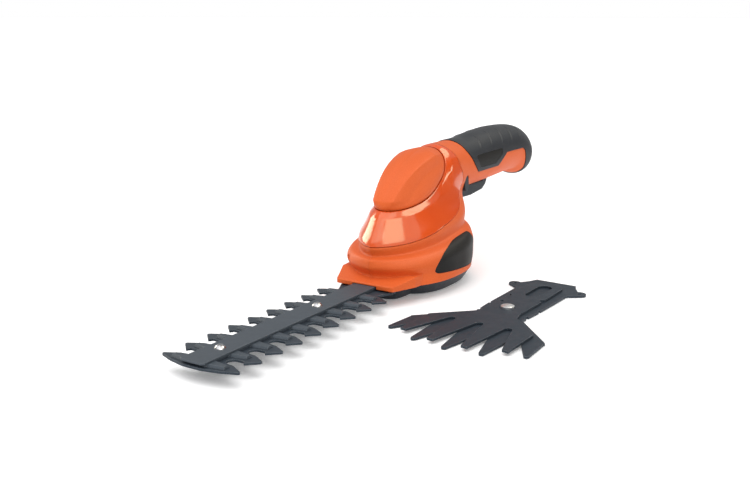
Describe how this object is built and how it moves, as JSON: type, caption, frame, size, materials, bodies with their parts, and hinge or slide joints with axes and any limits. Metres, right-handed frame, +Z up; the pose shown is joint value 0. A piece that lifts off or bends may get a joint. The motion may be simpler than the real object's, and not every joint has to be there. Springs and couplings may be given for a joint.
{
  "type": "cordless garden shears",
  "caption": "Cordless garden shears with a motor head on a flat base, a rear trigger grip, a toothed hedge blade and a loose fan-shaped grass blade",
  "frame": {"origin": "on the floor plane, in the base cover's flat underside, under the drive axis", "axes": "+X points from the drive axis to the hedge blade's tip, +Y to the user's left, +Z up"},
  "size_m": [0.4169, 0.1758, 0.1019],
  "materials": {
    "matte_orange": "finely textured moulded plastic",
    "gloss_orange": "polished moulded plastic",
    "dark_plastic": "finely textured moulded plastic",
    "soft_grip": "soft satin elastomer",
    "black_panel": "satin plastic",
    "blade_coating": "dark low-friction coating on steel",
    "bright_steel": "bright plated",
    "plain_steel": "plain steel",
    "bronze": "sintered bronze",
    "nylon": "natural nylon",
    "cell_wrap": "shrink wrap",
    "board": "lacquered board"
  },
  "bodies": {
    "housing": {"left_housing": "matte_orange", "right_housing": "matte_orange", "front_cover": "gloss_orange", "top_dome": "matte_orange", "left_grip": "soft_grip", "right_grip": "soft_grip", "left_side_plate": "black_panel", "right_side_plate": "black_panel", "left_badge_panel": "black_panel", "right_badge_panel": "black_panel", "trigger_pin": "plain_steel", "trigger_spring": "plain_steel", "micro_switch": "black_panel", "front_cell": "cell_wrap", "rear_cell": "cell_wrap", "cell_tabs": "plain_steel", "circuit_board": "board", "charge_socket": "black_panel", "motor_can": "plain_steel", "motor_end_cap": "black_panel", "motor_plate": "dark_plastic", "motor_screws": "plain_steel", "gear_plate": "dark_plastic", "plate_screws": "plain_steel", "idler_shaft": "plain_steel", "crank_bushes": "bronze", "housing_screws": "plain_steel"},
    "blade_unit": {"base_cover": "dark_plastic", "hedge_comb": "blade_coating", "hedge_spine": "blade_coating", "hedge_rivets": "bright_steel"},
    "hedge_cutter_body": {"hedge_cutter": "blade_coating"},
    "crank": {"crank_gear": "nylon", "crank_shaft": "plain_steel", "crank_disc": "plain_steel"},
    "idler": {"idler_gear": "nylon"},
    "motor_rotor": {"motor_shaft": "plain_steel", "motor_pinion": "bronze"},
    "trigger_body": {"trigger": "dark_plastic"},
    "lock_body": {"lock_button": "dark_plastic"},
    "grass_base": {"grass_comb": "blade_coating", "grass_pivot_bolt": "bright_steel"},
    "grass_cutter_body": {"grass_cutter": "blade_coating"}
  },
  "joints": [
    {"name": "crank_spin", "type": "hinge", "parent": "housing", "child": "crank", "pos_m": [0, 0, 0.02], "axis": [0, 0, 1], "continuous": true},
    {"name": "idler_spin", "type": "hinge", "parent": "housing", "child": "idler", "pos_m": [-0.01474, 0.01474, 0.02], "axis": [0, 0, 1], "continuous": true},
    {"name": "motor_spin", "type": "hinge", "parent": "housing", "child": "motor_rotor", "pos_m": [-0.02584, 0, 0.04], "axis": [0, 0, 1], "continuous": true},
    {"name": "blade_release", "type": "slide", "parent": "housing", "child": "blade_unit", "axis": [0, 0, -1], "range_m": [0, 0.03]},
    {"name": "cutter_stroke", "type": "slide", "parent": "blade_unit", "child": "hedge_cutter_body", "axis": [1, 0, 0], "range_m": [-0.004, 0.004]},
    {"name": "trigger_pull", "type": "hinge", "parent": "housing", "child": "trigger_body", "pos_m": [-0.108, 0, 0.0652], "axis": [0, -1, 0], "range_deg": [0, 7], "stiffness_Nm_per_rad": 0.6, "springref_deg": -6.88, "deforming": ["trigger_spring"]},
    {"name": "lock_push", "type": "slide", "parent": "housing", "child": "lock_body", "axis": [0, -1, 0], "range_m": [0, 0.004]},
    {"name": "grass_blade_lift", "type": "slide", "parent": "housing", "child": "grass_base", "axis": [0, 0, 1], "range_m": [0, 0.06]},
    {"name": "grass_cutter_swing", "type": "hinge", "parent": "grass_base", "child": "grass_cutter_body", "pos_m": [0.0225, 0.0905, 0.002], "axis": [0, 0, 1], "range_deg": [-5, 5]}
  ],
  "couplings": [
    {"joint": "idler_spin", "follows": "crank_spin", "ratio": -3.3333},
    {"joint": "motor_spin", "follows": "crank_spin", "ratio": 12}
  ]
}
